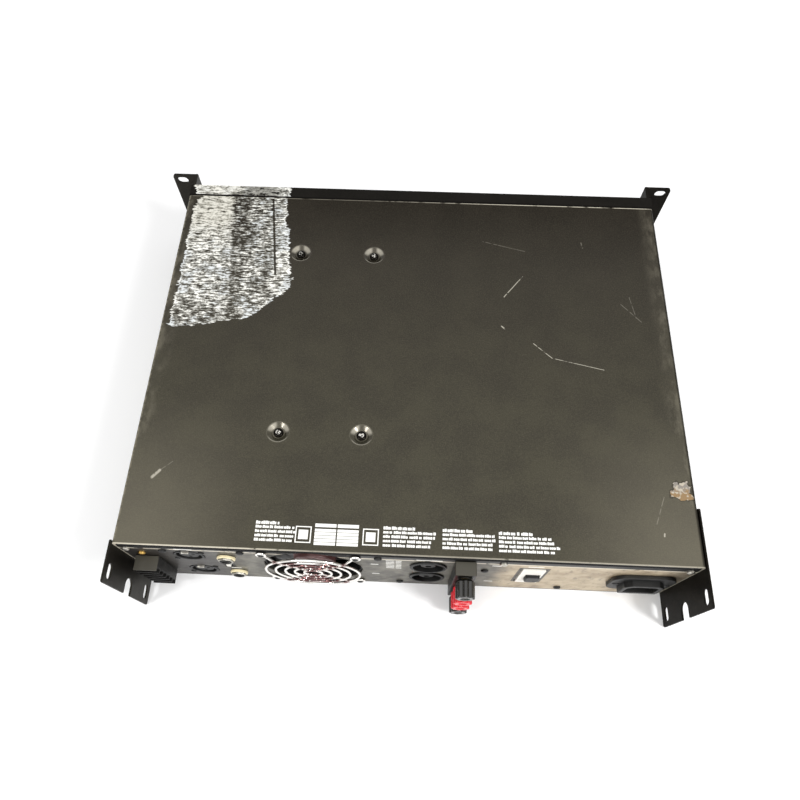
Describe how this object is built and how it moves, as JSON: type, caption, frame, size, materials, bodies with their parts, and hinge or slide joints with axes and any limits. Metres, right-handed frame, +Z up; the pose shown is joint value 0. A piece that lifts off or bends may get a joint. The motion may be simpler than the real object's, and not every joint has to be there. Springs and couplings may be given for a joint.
{
  "type": "power amplifier",
  "caption": "Rack-mounting power amplifier with a steel case, rack ears, a fan-cooled heat-sink tunnel and a rear panel of input, speaker and mains connectors.",
  "frame": {"origin": "middle of the footprint, on the surface that the case stands on", "axes": "+X to the right as seen from the front, +Y from the front panel to the connector panel, +Z up"},
  "size_m": [0.4826, 0.4038, 0.0881],
  "materials": {
    "black_steel": "satin black-brown paint with a fine speckle, scuffed and scratched",
    "ear_steel": "satin black paint, worn at the edges",
    "rear_steel": "plated steel with grey printed areas",
    "front_paint": "fine dark textured paint",
    "black_plastic": "moulded black plastic",
    "grey_plastic": "moulded dark grey plastic",
    "red_plastic": "moulded red plastic",
    "cream_nut": "cream-tinted plated nut",
    "brass": "plated brass",
    "chrome_wire": "bright chrome wire",
    "zinc": "zinc-plated steel",
    "aluminium": "plain extruded aluminium",
    "circuit_board": "green solder mask",
    "capacitor_sleeve": "shrink sleeve",
    "winding": "copper windings under amber tape",
    "white_plastic": "off-white plastic",
    "lens": "smoked clear plastic"
  },
  "bodies": {
    "root": {"top_cover": "black_steel", "chassis_pan": "black_steel", "rear_panel": "rear_steel", "front_panel": "front_paint", "front_ear_left": "ear_steel", "front_ear_right": "ear_steel", "rear_ear_left": "ear_steel", "rear_ear_right": "ear_steel", "cover_screw_1": "zinc", "cover_screw_2": "zinc", "cover_screw_3": "zinc", "cover_screw_4": "zinc", "heat_sink_left": "aluminium", "heat_sink_right": "aluminium", "fan_frame": "black_plastic", "fan_guard": "chrome_wire", "toroid_transformer": "winding", "transformer_clamp": "zinc", "amplifier_board": "circuit_board", "input_board": "circuit_board", "filter_capacitor_1": "capacitor_sleeve", "filter_capacitor_2": "capacitor_sleeve", "xlr_input_1": "black_plastic", "trs_jack_1": "black_plastic", "speaker_socket_1": "black_plastic", "trs_nut_1": "cream_nut", "xlr_input_2": "black_plastic", "trs_jack_2": "black_plastic", "speaker_socket_2": "black_plastic", "trs_nut_2": "cream_nut", "mode_switch_body": "black_plastic", "mains_inlet": "black_plastic", "barrier_strip": "grey_plastic", "post_housing": "grey_plastic", "post_stud_1": "brass", "post_stud_2": "brass", "post_stud_3": "brass", "post_stud_4": "brass", "breaker_body": "white_plastic", "display_window": "lens", "gain_pot_1": "zinc", "gain_pot_2": "zinc", "rocker_bezel": "black_plastic"},
    "fan_rotor": {"fan_rotor": "black_plastic"},
    "gain_knob_1": {"gain_knob_1": "black_plastic"},
    "gain_knob_2": {"gain_knob_2": "black_plastic"},
    "power_rocker": {"power_rocker": "black_plastic"},
    "xlr_latch_1": {"xlr_latch_1": "zinc"},
    "xlr_latch_2": {"xlr_latch_2": "zinc"},
    "breaker_button": {"breaker_button": "black_plastic"},
    "mode_switch_lever": {"mode_switch_lever": "white_plastic"},
    "post_washer_1": {"post_washer_1": "zinc"},
    "post_washer_2": {"post_washer_2": "zinc"},
    "post_washer_3": {"post_washer_3": "zinc"},
    "post_washer_4": {"post_washer_4": "zinc"},
    "post_cap_1": {"post_cap_1": "black_plastic"},
    "post_cap_2": {"post_cap_2": "red_plastic"},
    "post_cap_3": {"post_cap_3": "red_plastic"},
    "post_cap_4": {"post_cap_4": "black_plastic"}
  },
  "joints": [
    {"name": "fan_spin", "type": "hinge", "parent": "root", "child": "fan_rotor", "pos_m": [0.0736, 0.1595, 0.04405], "axis": [0, 1, 0], "continuous": true},
    {"name": "gain_turn_1", "type": "hinge", "parent": "root", "child": "gain_knob_1", "pos_m": [0.165, -0.195, 0.04405], "axis": [0, 1, 0], "range_deg": [-150, 150]},
    {"name": "gain_turn_2", "type": "hinge", "parent": "root", "child": "gain_knob_2", "pos_m": [0.197, -0.195, 0.04405], "axis": [0, 1, 0], "range_deg": [-150, 150]},
    {"name": "power_rock", "type": "hinge", "parent": "root", "child": "power_rocker", "pos_m": [-0.192, -0.1839, 0.04405], "axis": [1, 0, 0], "range_deg": [0, 20]},
    {"name": "xlr_press_1", "type": "slide", "parent": "root", "child": "xlr_latch_1", "axis": [0, -1, 0], "range_m": [0, 0.0015], "stiffness_N_per_m": 400},
    {"name": "xlr_press_2", "type": "slide", "parent": "root", "child": "xlr_latch_2", "axis": [0, -1, 0], "range_m": [0, 0.0015], "stiffness_N_per_m": 400},
    {"name": "breaker_pop", "type": "slide", "parent": "root", "child": "breaker_button", "axis": [0, 1, 0], "range_m": [0, 0.004]},
    {"name": "mode_slide", "type": "slide", "parent": "root", "child": "mode_switch_lever", "axis": [0, 0, 1], "range_m": [-0.004, 0.004]},
    {"name": "post_turn_1", "type": "hinge", "parent": "root", "child": "post_washer_1", "pos_m": [-0.04535, 0.1847, 0.07262], "axis": [0, 1, 0], "range_deg": [0, 1800]},
    {"name": "post_travel_1", "type": "slide", "parent": "post_washer_1", "child": "post_cap_1", "axis": [0, 1, 0], "range_m": [0, 0.004]},
    {"name": "post_turn_2", "type": "hinge", "parent": "root", "child": "post_washer_2", "pos_m": [-0.04535, 0.1847, 0.05357], "axis": [0, 1, 0], "range_deg": [0, 1800]},
    {"name": "post_travel_2", "type": "slide", "parent": "post_washer_2", "child": "post_cap_2", "axis": [0, 1, 0], "range_m": [0, 0.004]},
    {"name": "post_turn_3", "type": "hinge", "parent": "root", "child": "post_washer_3", "pos_m": [-0.04535, 0.1847, 0.03453], "axis": [0, 1, 0], "range_deg": [0, 1800]},
    {"name": "post_travel_3", "type": "slide", "parent": "post_washer_3", "child": "post_cap_3", "axis": [0, 1, 0], "range_m": [0, 0.004]},
    {"name": "post_turn_4", "type": "hinge", "parent": "root", "child": "post_washer_4", "pos_m": [-0.04535, 0.1847, 0.01547], "axis": [0, 1, 0], "range_deg": [0, 1800]},
    {"name": "post_travel_4", "type": "slide", "parent": "post_washer_4", "child": "post_cap_4", "axis": [0, 1, 0], "range_m": [0, 0.004]}
  ],
  "couplings": [
    {"joint": "post_turn_1", "follows": "post_travel_1", "rad_per_m": 7854},
    {"joint": "post_turn_2", "follows": "post_travel_2", "rad_per_m": 7854},
    {"joint": "post_turn_3", "follows": "post_travel_3", "rad_per_m": 7854},
    {"joint": "post_turn_4", "follows": "post_travel_4", "rad_per_m": 7854}
  ]
}
